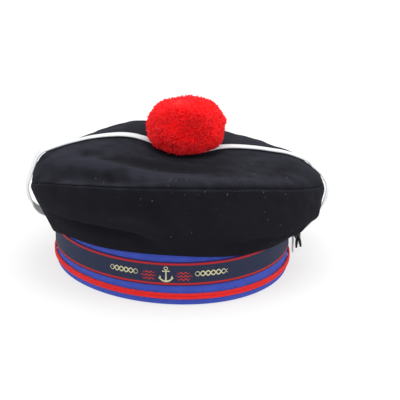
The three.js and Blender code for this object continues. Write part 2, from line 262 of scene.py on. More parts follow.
def mixColor(tree, share, first, second):
    rgba = [v if isinstance(v, bpy.types.NodeSocket) else (*v, 1) for v in (first, second)]
    return node(tree, "ShaderNodeMix", {0: share, 6: rgba[0], 7: rgba[1]},
                data_type="RGBA").outputs[2]


def noise(tree, place, scale, detail=3.0, rough=0.55):
    return node(tree, "ShaderNodeTexNoise", {"Vector": place, "Scale": scale, "Detail": detail,
                                             "Roughness": rough}).outputs[0]


def ramp(tree, value, low, high, first=0.0, second=1.0):
    return node(tree, "ShaderNodeMapRange", {0: value, 1: low, 2: high, 3: first, 4: second},
                interpolation_type="SMOOTHSTEP").outputs[0]


def newMaterial(name, **settings):
    material = bpy.data.materials.new(name)
    material.use_nodes = True
    tree = material.node_tree
    shader = tree.nodes["Principled BSDF"]
    sockets = {"roughness": "Roughness", "sheen": "Sheen Weight", "sheenRough": "Sheen Roughness",
               "sheenTint": "Sheen Tint", "specular": "Specular IOR Level",
               "color": "Base Color"}
    for key, value in settings.items():
        shader.inputs[sockets[key]].default_value = (*value, 1) if isinstance(value, tuple) else value
    return material, tree, shader


def finishSurface(tree, shader, color, height, depth):  # depth in millimetres
    bump = node(tree, "ShaderNodeBump", {"Height": height, "Distance": depth / 1000,
                                         "Strength": 1.0})
    tree.links.new(bump.outputs[0], shader.inputs["Normal"])
    if color is not None:
        tree.links.new(color, shader.inputs["Base Color"])


def place(tree):
    return node(tree, "ShaderNodeTexCoord").outputs["Object"]


def clothPlace(tree):  # metres along and across the cloth
    flat = node(tree, "ShaderNodeUVMap", uv_map="cloth").outputs[0]
    parts = node(tree, "ShaderNodeSeparateXYZ", {0: flat})
    return parts.outputs[0], parts.outputs[1]


def woolCloth():
    material, tree, shader = newMaterial("navyWool", roughness=0.95, specular=0.025, sheen=0.016,
                                         sheenRough=0.4, sheenTint=(0.72, 0.76, 1.0))
    where = place(tree)
    nap = noise(tree, where, 1500, 4, 0.7)
    fibre = noise(tree, node(tree, "ShaderNodeMapping", {0: where, 3: (1.0, 1.7, 0.35)}).outputs[0],
                  900, 3, 0.6)
    paleNap = ramp(tree, noise(tree, where, 26, 4, 0.62), 0.46, 0.68)
    fleck = ramp(tree, fibre, 0.5, 0.75, 0.0, 0.55)
    facing = node(tree, "ShaderNodeSeparateXYZ", {0: node(tree, "ShaderNodeNewGeometry").outputs[1]})
    paintedTopLight = ramp(tree, facing.outputs[2], 0.2, 0.95)  # painted light: the nap is painted palest where it faces up, as if lit from above
    share = calc(tree, "ADD", calc(tree, "MULTIPLY", paleNap, 0.4), calc(tree, "MULTIPLY", fleck, 0.8))
    # painted light and shade from the cloth's point values: pale on raised folds, dark in the dish by the
    # pompom, with random wear
    wearAndPaintedLight = node(tree, "ShaderNodeAttribute", attribute_name="wearAndPaintedLight").outputs["Fac"]
    lit = calc(tree, "MULTIPLY", calc(tree, "ADD", calc(tree, "MULTIPLY", paintedTopLight, 0.85), 0.15), wearAndPaintedLight)
    share = calc(tree, "MULTIPLY", calc(tree, "ADD", share, 1.1), lit)
    # painted light: the cloth is mixed towards the pale nap colour in random worn patches, and more so where
    # the painted top and fold light fall
    color = mixColor(tree, share, crown["color"], crown["paleNap"])
    height = calc(tree, "ADD", nap, calc(tree, "MULTIPLY", fibre, 0.8))
    finishSurface(tree, shader, color, height, 0.32)
    return material


def knitCloth():
    material, tree, shader = newMaterial("blueKnit", roughness=0.85, specular=0.2, sheen=0.08,
                                         sheenRough=0.5, sheenTint=(0.7, 0.78, 1.0))
    along, across = clothPlace(tree)
    column = calc(tree, "MULTIPLY", along, 1000 / band["stitchWide"])
    side = calc(tree, "ABSOLUTE", calc(tree, "SUBTRACT", calc(tree, "FRACT", column), 0.5))
    row = calc(tree, "MULTIPLY", across, 1000 / band["stitchTall"])
    slanted = calc(tree, "ADD", row, calc(tree, "MULTIPLY", side, 1.3))
    strand = calc(tree, "SINE", calc(tree, "MULTIPLY", slanted, 2 * math.pi))
    leg = calc(tree, "SINE", calc(tree, "MULTIPLY", side, 2 * math.pi))
    height = calc(tree, "MULTIPLY", calc(tree, "ADD", calc(tree, "MULTIPLY", strand, 0.5), 0.7), leg)
    shadeShare = ramp(tree, height, 0.1, 0.75)
    mottle = noise(tree, place(tree), 120, 3)
    light = mixColor(tree, ramp(tree, mottle, 0.35, 0.7), band["color"],
                     tuple(1.22 * value for value in band["color"]))
    fuzz = noise(tree, place(tree), 2200, 2)
    finishSurface(tree, shader, mixColor(tree, shadeShare, band["shade"], light),
                  calc(tree, "ADD", height, calc(tree, "MULTIPLY", fuzz, 0.3)), 0.22)
    return material


ribbon = {"low": 14.8, "high": 32.6, "slant": 1.2, "off": 0.3, "thick": 0.6, "line": 1.35,
          "lineFrom": 0.85, "rib": 0.55, "color": (0.016, 0.02, 0.044), "red": (0.4, 0.018, 0.02),
          "edge": (0.05, 0.012, 0.05)}


def ribbonCloth():
    material, tree, shader = newMaterial("navyRibbon", roughness=0.6, specular=0.1, sheen=0.0,
                                         sheenRough=0.35, sheenTint=(0.8, 0.85, 1.0))
    along, across = clothPlace(tree)
    tall = ribbon["high"] - ribbon["low"]
    fromEdge = calc(tree, "MINIMUM", across, calc(tree, "SUBTRACT", tall / 1000, across))
    start, end = ribbon["lineFrom"] / 1000, (ribbon["lineFrom"] + ribbon["line"]) / 1000
    soft = 0.00012
    past = ramp(tree, fromEdge, start - soft, start + soft)
    inner = ramp(tree, fromEdge, end - soft, end + soft)
    rib = calc(tree, "SINE", calc(tree, "MULTIPLY", along, 2000 * math.pi / ribbon["rib"]))
    mottle = noise(tree, place(tree), 300, 3)
    navy = mixColor(tree, mottle, ribbon["color"], tuple(1.4 * v for v in ribbon["color"]))
    red = mixColor(tree, calc(tree, "MULTIPLY", rib, 0.4), ribbon["red"],
                   tuple(0.6 * v for v in ribbon["red"]))
    color = mixColor(tree, inner, mixColor(tree, past, ribbon["edge"], red), navy)
    raised = calc(tree, "SUBTRACT", past, inner)
    height = calc(tree, "ADD", calc(tree, "MULTIPLY", rib, 0.35), calc(tree, "MULTIPLY", raised, 0.8))
    finishSurface(tree, shader, color, height, 0.12)
    return material


def plaitedThread(name, color, shade, grain=1800, depth=0.12, rough=0.75, tint=(1, 1, 1), sheen=0.2,
                  paintedGlow=0.0):
    material, tree, shader = newMaterial(name, roughness=rough, specular=0.25, sheen=sheen,
                                         sheenRough=0.4, sheenTint=tint)
    where = place(tree)
    fine = noise(tree, where, grain, 3, 0.6)
    broad = noise(tree, where, 160, 2)
    share = calc(tree, "MULTIPLY", ramp(tree, fine, 0.3, 0.65),
                 calc(tree, "ADD", calc(tree, "MULTIPLY", broad, 0.5), 0.6))
    finishSurface(tree, shader, mixColor(tree, share, shade, color), fine, depth)
    shader.inputs["Emission Color"].default_value = (*color, 1)
    shader.inputs["Emission Strength"].default_value = paintedGlow  # painted light: the thread glows on its own, standing in for light that comes through thin braid
    return material


def yarn():
    material, tree, shader = newMaterial("redYarn", roughness=0.8, specular=0.12, sheen=0.3,
                                         sheenRough=0.35, sheenTint=(1.0, 0.3, 0.32))
    along, which = clothPlace(tree)  # from root to tip, and a random share for each strand
    # painted shade: the yarn is darker towards its roots, deep in the pompom where shade falls
    tip = ramp(tree, calc(tree, "MULTIPLY", along, 1000), 0.2, 0.9)
    tone = calc(tree, "MULTIPLY", which, 1000)
    deep = mixColor(tree, tone, *pompom["deep"])
    bright = mixColor(tree, tone, *pompom["bright"])
    fine = noise(tree, place(tree), 2600, 2)
    finishSurface(tree, shader, mixColor(tree, tip, deep, bright), fine, 0.1)
    return material


view = {"elevation": 20.0, "distance": 1500.0, "lens": 180.97, "aim": (20.07, 0.0, 44.05)}


def setView():
    angle = math.radians(view["elevation"])
    look = Vector((0, math.cos(angle), -math.sin(angle)))
    aim = Vector(np.array(view["aim"]) / 1000 + capMiddle)
    camera = bpy.data.objects.new("camera", bpy.data.cameras.new("camera"))
    camera.data.lens = view["lens"]
    camera.data.sensor_width = 36
    camera.location = aim - look * view["distance"] / 1000
    camera.rotation_euler = look.to_track_quat("-Z", "Y").to_euler()
    bpy.context.scene.collection.objects.link(camera)
    bpy.context.scene.camera = camera
    bpy.context.scene.view_settings.view_transform = "Standard"


studio = {"surround": 1.15, "floorDark": (0.26, 0.26, 0.26), "floorLight": (0.28, 0.28, 0.28),
          "floorGlow": 0.64, "floorHalf": 6.0, "floorDown": 0.0002}
lamps = [  # name, place and size in metres, watts
    ("topLight", (0.15, 0.25, 1.5), 1.4, 14.0),
    ("leftLight", (-1.4, -0.9, 0.9), 1.0, 7.0),
    ("rightLight", (1.5, -0.7, 1.0), 1.0, 10.0),
]


def setLights():
    world = bpy.data.worlds.new("studio")
    world.use_nodes = True
    world.node_tree.nodes["Background"].inputs[0].default_value = (1, 1, 1, 1)
    world.node_tree.nodes["Background"].inputs[1].default_value = studio["surround"]
    bpy.context.scene.world = world
    for name, where, size, watts in lamps:
        lamp = bpy.data.lights.new(name, "AREA")
        lamp.energy = watts
        lamp.size = size
        holder = bpy.data.objects.new(name, lamp)
        holder.location = where
        holder.rotation_euler = (Vector((0, 0, 0.05)) - Vector(where)).to_track_quat("-Z", "Y").to_euler()
        bpy.context.scene.collection.objects.link(holder)


def setFloor():
    material, tree, shader = newMaterial("paleFloor", roughness=0.9, specular=0.1)
    tone = noise(tree, place(tree), 4, 2)
    color = mixColor(tree, tone, studio["floorDark"], studio["floorLight"])
    tree.links.new(color, shader.inputs["Base Color"])
    shader.inputs["Emission Color"].default_value = (1, 1, 1, 1)  # a lit table, so shadows stay pale
    shader.inputs["Emission Strength"].default_value = studio["floorGlow"]
    mesh = bpy.data.meshes.new("floor")
    half = studio["floorHalf"]
    mesh.from_pydata([(-half, -half, 0), (half, -half, 0), (half, half, 0), (-half, half, 0)], [],
                     [(0, 1, 2, 3)])
    mesh.materials.append(material)
    floor = bpy.data.objects.new("floor", mesh)
    floor.location.z = -studio["floorDown"]
    bpy.context.scene.collection.objects.link(floor)


folds = [  # line over the cloth as (direction, place), height and half-width in mm
    ([(289, 7.7), (302.5, 7.85), (310, 7.9), (319, 8), (331.5, 7.98), (342.5, 7.88), (350, 7.93),
      (354.5, 8.3), (358, 9.2)], 3.0, 5.5),
    ([(290, 8.8), (298, 8.9), (314.5, 9), (329, 9), (341, 8.9), (348.5, 9), (352, 9.35)], -2.6, 5.5),
    ([(84, 7.9), (76, 7.88), (63.5, 7.66), (57, 7.73), (49, 7.83), (42.5, 7.9), (30.5, 7.98),
      (20, 8.1)], 2.8, 6.0),
    ([(72, 8.3), (64.5, 8.3), (53.5, 8.45), (40.5, 8.45), (31, 8.5), (20, 8.7)], -2.4, 5.5),
    ([(280, 4.9), (290, 4.1), (307.5, 3.84), (322.5, 3.86), (341, 3.88), (354.5, 3.9), (366.5, 4.0),
      (384, 4.9), (402.5, 5.5), (422, 5.7)], 1.7, 7.5),
    ([(292, 3.4), (300, 3.3), (320, 3.15), (339, 2.95), (359, 2.8), (378, 2.9), (396, 3.4)], -1.8, 8.0),
    ([(291, 5.1), (309, 4.7), (328, 4.7), (341, 5), (352, 5.5)], -1.3, 6.0),
    ([(50, 4.4), (70, 4.0), (88, 3.9)], -1.4, 7.0),
    ([(236, 4.9), (256, 4.95), (268, 5), (284, 4.9)], -1.6, 5.5),
    ([(240, 5.6), (256, 5.6), (270, 5.6), (288, 5.6)], 1.9, 5.0),
    ([(70, 5.55), (84, 5.5), (98, 5.5), (112, 5.5)], 1.3, 5.0),
    ([(60, 6.5), (70, 7.0), (76, 7.6)], 1.3, 5.0),
    ([(283, 9.25), (285.5, 9.5), (289, 9.6)], 1.6, 3.2),
    ([(12, 6.6), (30, 7.0), (48, 6.9)], 0.8, 8.0),
    ([(330, 6.7), (345, 7.1), (356, 7.4)], -0.8, 7.0),
]


def foldShift(points):
    shift = np.zeros(len(points))
    for line, height, width in folds:
        stops = np.array(line, float)
        t = np.linspace(0, 1, 90)
        smooth = alongLine(np.column_stack([stops, 0 * stops[:, 0]]), t)
        marks, _ = crownSpot(smooth[:, 0], smooth[:, 1])
        fade = np.sin(math.pi * t) ** 0.6
        near = np.zeros(len(points))
        for mark, strength in zip(marks, fade):
            away = np.sum((points - mark) ** 2, axis=1) / width ** 2
            near = np.maximum(near, strength * np.exp(-away))
        shift += height * near
    return shift


def clothShift(points, place):
    # how far the cloth stands off its plain form by folds and soft unevenness, and by folds alone
    side = np.abs(points[:, 1] + 1.0)
    underStrap = np.exp(-(side / 9.0) ** 2)
    fromPompom = np.hypot(points[:, 0] - pompom["x"], points[:, 1] - pompom["y"])
    free = (1 - underStrap) * smoothStep(fromPompom, 24, 36)
    free = free * (1 - smoothStep(place, 9.3, 9.75))
    soft = 0.5 * softNoise(points, 34, 3) + 0.22 * softNoise(points, 13, 5)
    fold = foldShift(points) * free
    return fold + soft * free, fold


def seamDrop(at, place):  # the cloth turns in where its edges are sewn together
    away = np.abs(place - crown["seam"]) * 16.0
    pucker = 1 + 0.3 * np.sin(np.radians(at) * 61 + 2 * np.sin(np.radians(at) * 5))
    return -crown["seamDepth"] * np.exp(-(away / crown["seamSpread"]) ** 2) * pucker


def wearAndPaintedLightOf(points, fold):  # painted light and shade, with random worn patches: the nap is painted pale on raised folds and dark in the dish by the pompom, where shade falls
    away = (points - np.array([12, -50, 88])) / np.array([48, 26, 30])
    paintedDishShade = np.exp(-np.sum(away ** 2, 1))
    patchy = 0.2 * softNoise(points, 30, 9) + 0.14 * softNoise(points, 9, 10)
    return np.clip(0.6 + 0.3 * fold + patchy - 0.65 * paintedDishShade, 0, 1)


def crownLayer(at, place):  # outer and inner points of the cloth, and how worn its nap is
    points, out = crownSpot(at, place)
    shift, fold = clothShift(points, place)
    outer = points + out * (shift + seamDrop(at, place))[:, None]
    return outer, outer - out * crown["wall"], wearAndPaintedLightOf(points, fold)


def setWearAndPaintedLight(piece, values):
    piece.data.attributes.new("wearAndPaintedLight", "FLOAT", "POINT").data.foreach_set("value", values)


def makeCrownTop(material):
    turns = crown["turns"]
    places = np.concatenate([np.linspace(0.12, 5.0, 46), np.linspace(5.08, 5.8, 12),
                             np.linspace(5.83, crown["seam"] - crown["seamGap"], 8)])
    at = np.arange(turns) * 360 / turns
    outer, inner, wearAndPaintedLight = crownLayer(np.repeat(at, len(places)), np.tile(places, turns))
    outer = outer.reshape(turns, -1, 3)
    inner = inner.reshape(turns, -1, 3)[:, ::-1]
    inner = np.concatenate([inner[:, :1], inner[:, 1:-1:3], inner[:, -1:]], 1)
    rows = np.concatenate([outer, inner], 1)
    count = rows.shape[1]
    poles = [[0, 0, crown["middle"]], [0, 0, crown["middle"] - crown["wall"]]]
    faces, _ = gridFaces(turns, count, True, False, 2)
    for turn in range(turns):
        here, there = 2 + turn * count, 2 + (turn + 1) % turns * count
        faces.append([0, here, there])
        faces.append([1, there + count - 1, here + count - 1])
    points = np.vstack([poles, rows.reshape(-1, 3)])
    piece = makePiece("crownTop", points, faces, material, ["crown_top"])
    # faces away from the outside take a plain share of the painted light and wear
    paleNap = np.full((turns, count), crown["plainWearAndPaintedLight"])
    paleNap[:, :len(places)] = wearAndPaintedLight.reshape(turns, -1)
    setWearAndPaintedLight(piece, np.concatenate([[crown["plainWearAndPaintedLight"]] * 2, paleNap.ravel()]))


def makeCrownSide(material):
    turns = crown["turns"]
    at = np.arange(turns) * 360 / turns
    start = crown["seam"] + crown["seamGap"]
    places = np.concatenate([np.linspace(start, 6.17, 8), np.linspace(6.22, 9.8, 60)])
    outer, _, wearAndPaintedLight = crownLayer(np.repeat(at, len(places)), np.tile(places, turns))
    outer = outer.reshape(turns, -1, 3)
    wall, lip = crown["wall"], crownValue("lipHeight", at)
    inside = bandReach(at, crown["lipOff"])
    channel = inside + crown["channel"]
    flangeLow = band["height"] + crown["gap"]
    flangeHigh = flangeLow + crown["flangeThick"]

    def innerWall(where):
        reach, height, out = onCrown(at, where)
        return reach - out[:, 0] * wall, height - out[:, 1] * wall
    bottom = np.full(turns, crown["lip"] - 0.25)
    while True:
        reach, height = innerWall(bottom)
        tight = (reach < channel + crown["gap"]) | (height < lip + 2)
        if not tight.any():
            break
        bottom[tight] -= 0.02
    channelFloor = np.minimum(innerWall(bottom)[1], flangeHigh) - crown["gap"]
    hem = []
    for angle in np.linspace(0.15, math.pi - 0.15, 7):  # the rounded lip
        hem.append((lipReach(at) - wall / 2 + wall / 2 * math.cos(angle),
                    lip + crown["lipRound"] - crown["lipRound"] * math.sin(angle)))
    hem += [(inside, lip + crown["lipTall"]), (inside, flangeLow),
            (inside - crown["lipOff"] - crown["flange"], flangeLow),
            (inside - crown["lipOff"] - crown["flange"], flangeHigh),
            (channel, flangeHigh), (channel, channelFloor)]
    rows = [spot(at, reach, height)[:, None] for reach, height in hem]
    backPlaces = np.linspace(0, 1, 22)[:, None] * (start - bottom) + bottom
    back = [crownLayer(at, where)[1][:, None] for where in backPlaces]
    rows = np.concatenate([outer, *rows, *back], 1)
    piece = ringPiece("crownSide", rows, material, ["crown_side"])
    # faces away from the outside take a plain share of the painted light and wear
    paleNap = np.full(rows.shape[:2], crown["plainWearAndPaintedLight"])
    paleNap[:, :len(places)] = wearAndPaintedLight.reshape(turns, -1)
    setWearAndPaintedLight(piece, paleNap.ravel())


lint = {"more": 34, "color": (0.2, 0.205, 0.235), "shade": (0.1, 0.1, 0.12)}
lintSpots = [  # (direction, place) of the plainest specks
    (350.5, 3.16), (357.5, 5.38), (359.5, 5.4), (359, 5.79), (2, 5.23), (12.5, 6.12), (14.5, 6.36),
    (21, 6.58), (16.5, 6.72), (24, 6.1), (27, 6.12), (36, 6.15), (46.5, 6.22), (47.5, 6.39),
    (55, 6.58), (10, 8), (50.5, 2.99), (36.5, 6.34), (5, 6.27), (78, 2.32), (348.5, 6.77),
    (340.5, 6.63)]


def makeLint(material):  # short curled fibres and specks caught on the wool
    rng = np.random.default_rng(31)
    more = lint["more"]
    spots = lintSpots + list(zip(rng.normal(18, 30, more), rng.uniform(2.6, 8.4, more)))
    points, faces = [], []
    for at, where in spots:
        base, out = crownSpot(at, where)
        base = base + out * (clothShift(base, np.array([where]))[0][:, None] + 0.1)
        one = unit(np.cross(out, rng.normal(size=3)))
        two = np.cross(out, one)
        length, curl = rng.uniform(0.3, 1.5) if rng.uniform() < 0.6 else 0.3, rng.uniform(-1.5, 1.5)
        rows = []
        for t in np.linspace(-0.5, 0.5, 6):
            middle = base + one * t * length + two * curl * length * t * t + out * 0.15 * rng.uniform()
            thick = rng.uniform(0.1, 0.19) * (1 - 1.5 * abs(t) ** 2)
            rows.append([(middle + thick * (math.cos(a) * two + math.sin(a) * out))[0]
                         for a in (0.3, 2.4, 4.5)])
        faces += barFaces(6, 3, 18 * len(points))
        points.append(np.array(rows).reshape(-1, 3))
    makePiece("woolLint", np.vstack(points), faces, material)


def makeBand(material):
    hem, wall, top = band["hem"], band["wall"], band["height"]
    section = [(hem * (math.cos(a) - 1), hem * (1 - math.sin(a)))
               for a in np.linspace(math.pi / 2, 0, 5)]
    section += [(0.0, height) for height in np.linspace(hem + 1.2, top - hem - 1, 26)]
    section += [(hem * (math.cos(a) - 1), top - hem + hem * math.sin(a))
                for a in np.linspace(0, math.pi, 7)]
    section += [(-wall, height) for height in np.linspace(top - hem - 1, hem + 1.2, 14)]
    section += [(-wall + hem * (1 - math.cos(a)), hem * (1 - math.sin(a)))
                for a in np.linspace(0, math.pi / 2, 4)]
    at = np.arange(band["turns"]) * 360 / band["turns"]
    rows = []
    for growth, height in section:
        points = spot(at, bandReach(at, max(growth, -wall)), height)
        ease = 0.12 * softNoise(points, 18, 8) * smoothStep(height, 0.5, 6)
        rows.append((points - spot(at, 1, 0) * np.abs(ease)[:, None])[:, None])
    rows = np.concatenate(rows, 1)
    across = np.concatenate([[height for _, height in section], [section[0][1]]])
    ringPiece("headBand", rows, material, ["head_band"], across)


def makeRibbon(material):
    low, high, thick = ribbon["low"], ribbon["high"], ribbon["thick"]
    heights = np.concatenate([[0.0, 0.12, 0.4], np.linspace(0.9, high - low - 0.9, 14),
                              [high - low - 0.4, high - low - 0.12, high - low]])
    bulge = [0.55, 0.85, 1.0] + [0.92] * 14 + [1.0, 0.85, 0.55]
    at = np.arange(band["turns"]) * 360 / band["turns"]
    rise = low + ribbon["slant"] * np.sin(np.radians(at))
    rows = [spot(at, bandReach(at, ribbon["off"] + thick * out), rise + height)[:, None]
            for height, out in zip(heights, bulge)]
    rows += [spot(at, bandReach(at, ribbon["off"]), rise + height)[:, None]
             for height in np.linspace(high - low, 0, 5)]
    across = np.concatenate([heights, np.linspace(high - low, 0, 5), [0]])
    piece = ringPiece("hatRibbon", np.concatenate(rows, 1), material, ["ribbon"],
                      across)
    line = spot(at, bandReach(at, ribbon["off"]), 0.0)
    long = np.sum(np.linalg.norm(np.roll(line, -1, 0) - line, axis=1))
    return piece, (high - low) / 1000, float(long) / 1000


stitching = {"middle": -4.0, "raised": 0.26, "off": 0.05, "gold": (0.6, 0.58, 0.36),
             "goldShade": (0.36, 0.33, 0.18), "red": (0.5, 0.018, 0.02), "redShade": (0.3, 0.01, 0.012)}


def onRibbon(along, height, lift):  # along from the motif's middle, height from the ribbon's middle
    turn = np.linspace(-70, 70, 561)
    line = spot(turn, bandReach(turn, ribbon["off"] + ribbon["thick"]), 0.0)
    run = np.concatenate([[0], np.cumsum(np.linalg.norm(np.diff(line, axis=0), axis=1))])
    run -= np.interp(0, turn, run)
    at = np.interp(along + stitching["middle"], run, turn)
    middle = (ribbon["low"] + ribbon["high"]) / 2 + ribbon["slant"] * np.sin(np.radians(at))
    reach = bandReach(at, ribbon["off"] + ribbon["thick"] + stitching["off"]) + lift
    return spot(at, reach, middle + height)


def stitchStrip(line, width):  # a raised strip of satin stitch over a flat line
    line = np.asarray(line, float)
    t = np.linspace(0, 1, max(6, 5 * len(line)))
    path = alongLine(np.column_stack([line, 0 * line[:, 0]]), t)[:, :2]
    way = unit(np.gradient(path, axis=0))
    across = np.stack([-way[:, 1], way[:, 0]], 1)
    half = np.interp(t, np.linspace(0, 1, len(width)), width)[:, None] / 2
    rows = []
    for share, rise in ((-1, 0), (-0.6, 0.75), (0, 1), (0.6, 0.75), (1, 0), (0, -0.15)):
        flat = path + across * half * share
        rows.append(onRibbon(flat[:, 0], flat[:, 1], stitching["raised"] * rise)[:, None])
    return np.concatenate(rows, 1)


def makeStitching(gold, red):
    ring = [(1.25 * math.sin(a), 4.4 + 1.05 * math.cos(a)) for a in np.linspace(0, 2 * math.pi, 13)]
    arm = [(4.4, -2.1), (3.9, -3.6), (2.4, -4.9), (0, -5.5), (-2.4, -4.9), (-3.9, -3.6), (-4.4, -2.1)]
    anchor = [(ring, (0.62, 0.62)), ([(0, 3.5), (0, 0), (0, -5.4)], (0.9, 1.0, 1.3)),
              ([(-2.7, 2.2), (0, 2.2), (2.7, 2.2)], (1.1, 0.8, 1.1)),
              (arm, (0.5, 1.2, 1.5, 1.2, 0.5))]
    for side in (-1, 1):
        anchor.append(([(side * 4.9, -3.5), (side * 4.3, -2.9), (side * 4.3, -1.0)], (2.4, 1.5, 0.2)))
        for twist in (0, math.pi):  # a two-strand rope on each side
            u = np.linspace(20.5, 43.5 if side < 0 else 44.5, 31)
            rope = 1.7 * np.sin(2 * math.pi * (u - 20.5) / 7.6 + twist)
            anchor.append((np.stack([side * u, 0.2 + rope], 1), (0.4, 1.0, 1.0, 1.0, 0.4)))
    waves, made = [], []
    for side in (-1, 1):
        for height, first, last in ((0.9, 7.6, 17.0), (-1.5, 6.9, 19.0), (-3.9, 7.8, 17.5)):
            u = np.linspace(first, last, 25)
            waves.append((np.stack([side * u, height + 0.55 * np.sin(u * 1.9)], 1), (0.3, 0.9, 0.9, 0.3)))
    for name, parts, material in (("ribbonStitching", anchor, gold), ("ribbonWaves", waves, red)):
        points, faces = [], []
        for line, width in parts:
            rows = stitchStrip(line, width)
            faces += barFaces(*rows.shape[:2], sum(len(each) for each in points))
            points.append(rows.reshape(-1, 3))
        made.append(makePiece(name, np.vstack(points), faces, material))
    return made


braid = {"low": 4.6, "ridge": 2.3, "proud": 1.5, "off": 0.3, "lay": 2.1, "strand": 0.16, "slant": 5.0,
         "color": (0.78, 0.016, 0.014), "shade": (0.42, 0.004, 0.005)}


def makeBraid(material):
    # two ridges of plaited cord side by side, the plaits leaning against each other
    steps = 1500
    at = np.arange(steps) * 360 / steps
    points = spot(at, bandReach(at, braid["off"]), 0)
    span = np.linalg.norm(np.roll(points, -1, 0) - points, axis=1)
    run = np.concatenate([[0], np.cumsum(span)])
    repeats = round(run[-1] / braid["lay"])
    phase = run[:-1] / run[-1] * repeats * 2 * math.pi
    rows = []
    for ridge in (0, 1):
        for share in np.linspace(0.04, 0.96, 9):
            arch = math.sin(math.pi * share) ** 0.6
            lean = (share - 0.5) * braid["slant"] * (1 if ridge else -1)
            out = braid["proud"] * (0.25 + 0.68 * arch) + braid["strand"] * np.sin(phase + lean)
            height = braid["low"] + braid["ridge"] * (ridge + share)
            rows.append(spot(at, bandReach(at, braid["off"]) + out, height)[:, None])
    for share in (0.96, 0.5, 0.04):
        height = braid["low"] + 2 * braid["ridge"] * share
        rows.append(spot(at, bandReach(at, braid["off"]), height)[:, None])
    ringPiece("bandBraid", np.concatenate(rows, 1), material, ["band_braid"])


# painted light: the strap's glow makes the white braid glow a little on its own
strap = {"width": 7.6, "thick": 1.5, "lift": 0.8, "left": -78.0, "right": 82.0, "stops": 21,
         "step": 0.34, "lay": 1.9, "relief": 0.13,
         "lean": 0.42, "paintedGlow": 0.3, "color": (0.54, 0.56, 0.57), "shade": (0.42, 0.435, 0.45)}
strapLeft = [(267, 4.5, 0), (265.5, 5, 0.1), (265.5, 5.4, 0.2), (266.5, 5.8, 0.4), (268, 6.3, 1),
             (269, 6.9, 2), (269, 7.5, 3.3), (267.5, 8.1, 4), (264, 8.6, 3.2),
             (258.5, 9.1, 1.8), (254, 9.6, 0.6), (251, 9.95, 0.6)]
strapRight = [(97, 4.4, 0), (99, 4.8, 0), (99, 5.2, 0), (97, 5.5, 0), (92.5, 5.95, 0.2),
              (89, 6.5, 0.6), (87.5, 7.2, 0.8), (88, 8, 0.6), (90, 9, 0.3), (91, 9.6, 0.2),
              (91.4, 9.95, 0.15)]
strapSway = {"middle": -1.5, "left": (-68, 6, 12), "right": (70, 5, 14)}  # where, how far, over
strapEnd = {"left": 249.0, "right": 91.0, "foot": 2.6, "above": 12.5, "slackRight": 2.8}


def crownHeight(x, y):
    at, reach = math.degrees(math.atan2(x, -y)), math.hypot(x, y)
    places = np.linspace(0, crown["seam"], 400)
    reaches, heights, _ = onCrown(np.full(400, at), places)
    return float(np.interp(reach, reaches, heights))


def strapRoute():
    off = strap["lift"] + strap["thick"] / 2

    def downSide(rows):
        at, place, extra = np.array(rows, float).T
        points, out = crownSpot(at, place)
        free = smoothStep(place, 4.3, 5.2) * (1 - smoothStep(place, 7.4, 8.4))
        leant = unit(out + np.array([0, -strap["lean"], 0]) * free[:, None])
        return list(zip(points + out * (off + extra + 0.5 * free)[:, None], leant))

    def downBand(at, slack):
        reach = bandReach(at, 0.6 + braid["proud"] + strap["thick"] / 2 + slack)
        above, foot = strapEnd["above"], strapEnd["foot"]
        return [(spot(at, reach, height), spot(at, 1.0, 0.0))
                for height in (above, (above + foot) / 2, foot)]

    top = []
    leftFrom, leftBy, leftOver = strapSway["left"]
    rightFrom, rightBy, rightOver = strapSway["right"]
    for x in np.linspace(strap["left"], strap["right"], strap["stops"]):
        y = (strapSway["middle"] + leftBy * (max(0, leftFrom - x) / leftOver) ** 2
             + rightBy * (max(0, x - rightFrom) / rightOver) ** 2)
        slope = unit(np.array([crownHeight(x - 3, y) - crownHeight(x + 3, y),
                               crownHeight(x, y - 3) - crownHeight(x, y + 3), 6.0]))
        top.append((np.array([x, y, crownHeight(x, y)]) + slope * off, slope))
    stops = (downBand(strapEnd["left"], 0)[::-1] + downSide(strapLeft)[::-1] + top
             + downSide(strapRight) + downBand(strapEnd["right"], strapEnd["slackRight"]))
    return np.array([point for point, _ in stops]), np.array([out for _, out in stops])


def makeStrap(material):
    points, outs = strapRoute()
    t = np.linspace(0, 1, 4000)
    line, way = alongLine(points, t), alongLine(outs, t)
    even, stops = evenly(line, strap["step"])
    run = np.concatenate([[0], np.cumsum(np.linalg.norm(np.diff(line, axis=0), axis=1))])
    way = np.stack([np.interp(stops, run, way[:, axis]) for axis in range(3)], 1)
    forward = unit(np.gradient(even, axis=0))
    side = unit(np.cross(forward, way))
    up = unit(np.cross(side, forward))
    half, thick = strap["width"] / 2, strap["thick"] / 2
    shares = np.linspace(-1, 1, 17)
    rows = []
    for face in (1, -1):
        for share in shares * face:
            rounded = max(0.0, 1 - abs(share) ** 6) ** 0.5 * 0.86
            plait = np.sin(2 * math.pi * (stops / strap["lay"] + abs(share) * 1.6))
            ribs = math.cos(2 * math.pi * share * 2.5) * 0.45
            relief = strap["relief"] * (plait + ribs) * (1 - abs(share) ** 8)
            height = face * (thick * rounded + relief)
            width = half * share * (1 - 0.012 * np.sin(2 * math.pi * stops / strap["lay"]))
            rows.append((even + side * np.broadcast_to(width, stops.shape)[:, None]
                         + up * height[:, None])[:, None])
    rows.pop(len(shares))  # the edges are shared by both faces
    rows.pop()
    rows = np.concatenate(rows, 1)
    steps, count = rows.shape[:2]
    makePiece("chinStrap", rows.reshape(-1, 3), barFaces(steps, count), material,
              ["chin_strap"])


